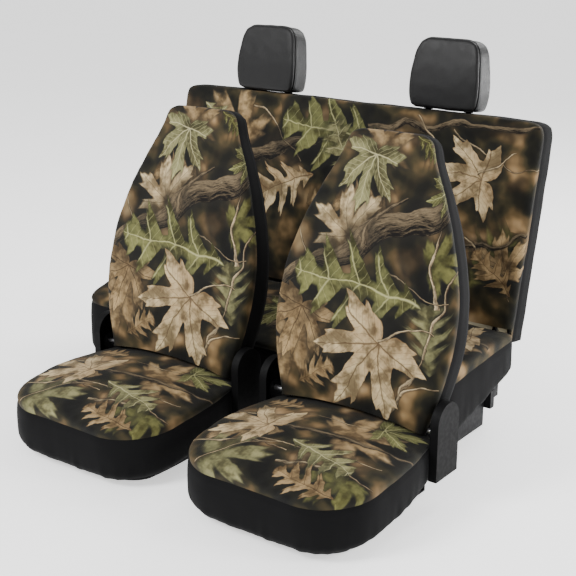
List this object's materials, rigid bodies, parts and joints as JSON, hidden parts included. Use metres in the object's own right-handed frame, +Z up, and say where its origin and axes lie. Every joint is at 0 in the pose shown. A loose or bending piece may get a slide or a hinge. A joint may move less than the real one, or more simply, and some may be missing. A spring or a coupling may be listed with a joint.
{
  "type": "seat cover set",
  "caption": "Leaf-print seat covers with black skirts, fitted to two bucket seats and a rear bench with slip-covered headrests.",
  "frame": {"origin": "on the floor plane under the centre of the set's bounding box", "axes": "+Z up, -Y towards the front of the seats, +X towards the side of the set nearest the viewer in a front-right view"},
  "size_m": [1.573, 1.3423, 1.1903],
  "materials": {
    "printed_cloth": "woven polyester with a woodland leaf print, foam backed",
    "black_cloth": "smooth black knitted polyester, foam backed",
    "elastic": "gathered casing with elastic inside",
    "webbing": "flat woven strap",
    "foam": "open-cell seat foam",
    "black_leatherette": "fine-grained, low sheen",
    "black_plastic": "moulded, fine texture",
    "black_steel": "black electrocoat",
    "steel": "zinc plated",
    "chrome_steel": "polished"
  },
  "bodies": {
    "base": {"front_left_seat_pan": "black_steel", "front_left_cushion_foam": "foam", "front_left_cushion_top_panel": "printed_cloth", "front_left_cushion_skirt": "black_cloth", "front_left_cushion_hem_elastic": "elastic", "front_left_underside_straps": "webbing", "front_left_recliner_brackets": "black_steel", "front_left_pivot_pins": "steel", "front_left_recliner_covers": "black_plastic", "front_right_seat_pan": "black_steel", "front_right_cushion_foam": "foam", "front_right_cushion_top_panel": "printed_cloth", "front_right_cushion_skirt": "black_cloth", "front_right_cushion_hem_elastic": "elastic", "front_right_underside_straps": "webbing", "front_right_recliner_brackets": "black_steel", "front_right_pivot_pins": "steel", "front_right_recliner_covers": "black_plastic", "bench_seat_pan": "black_steel", "bench_cushion_foam": "foam", "bench_cushion_top_panel": "printed_cloth", "bench_cushion_skirt": "black_cloth", "bench_cushion_hem_elastic": "elastic", "bench_underside_straps": "webbing", "bench_hinge_brackets": "black_steel", "bench_hinge_pins": "steel"},
    "front_left_back": {"front_left_back_frame": "black_steel", "front_left_back_foam": "foam", "front_left_back_front_panel": "printed_cloth", "front_left_back_side_gusset": "black_cloth", "front_left_back_rear_panel": "black_cloth", "front_left_back_hem_elastic": "elastic", "front_left_anchor_straps": "webbing"},
    "front_right_back": {"front_right_back_frame": "black_steel", "front_right_back_foam": "foam", "front_right_back_front_panel": "printed_cloth", "front_right_back_side_gusset": "black_cloth", "front_right_back_rear_panel": "black_cloth", "front_right_back_hem_elastic": "elastic", "front_right_anchor_straps": "webbing"},
    "bench_back": {"bench_back_frame": "black_steel", "bench_back_foam": "foam", "bench_back_front_panel": "printed_cloth", "bench_back_side_gusset": "black_cloth", "bench_back_rear_panel": "black_cloth", "bench_back_hem_elastic": "elastic", "bench_guide_sleeves": "black_plastic"},
    "headrest_left": {"headrest_left_posts": "chrome_steel", "headrest_left_foam": "foam", "headrest_left_front_cover": "black_leatherette", "headrest_left_side_gusset": "black_leatherette", "headrest_left_piping": "black_leatherette"},
    "headrest_right": {"headrest_right_posts": "chrome_steel", "headrest_right_foam": "foam", "headrest_right_front_cover": "black_leatherette", "headrest_right_side_gusset": "black_leatherette", "headrest_right_piping": "black_leatherette"}
  },
  "joints": [
    {"name": "front_left_recline", "type": "hinge", "parent": "base", "child": "front_left_back", "pos_m": [-0.2215, -0.17915, 0.212], "axis": [1, 0, 0], "range_deg": [-10, 12]},
    {"name": "front_right_recline", "type": "hinge", "parent": "base", "child": "front_right_back", "pos_m": [0.4785, -0.17915, 0.212], "axis": [1, 0, 0], "range_deg": [-10, 12]},
    {"name": "bench_recline", "type": "hinge", "parent": "base", "child": "bench_back", "pos_m": [-0.0515, 0.47485, 0.298], "axis": [1, 0, 0], "range_deg": [-6, 12]},
    {"name": "headrest_left_height", "type": "slide", "parent": "bench_back", "child": "headrest_left", "axis": [0, 0.1564, 0.9877], "range_m": [0, 0.06]},
    {"name": "headrest_right_height", "type": "slide", "parent": "bench_back", "child": "headrest_right", "axis": [0, 0.1564, 0.9877], "range_m": [0, 0.06]}
  ]
}
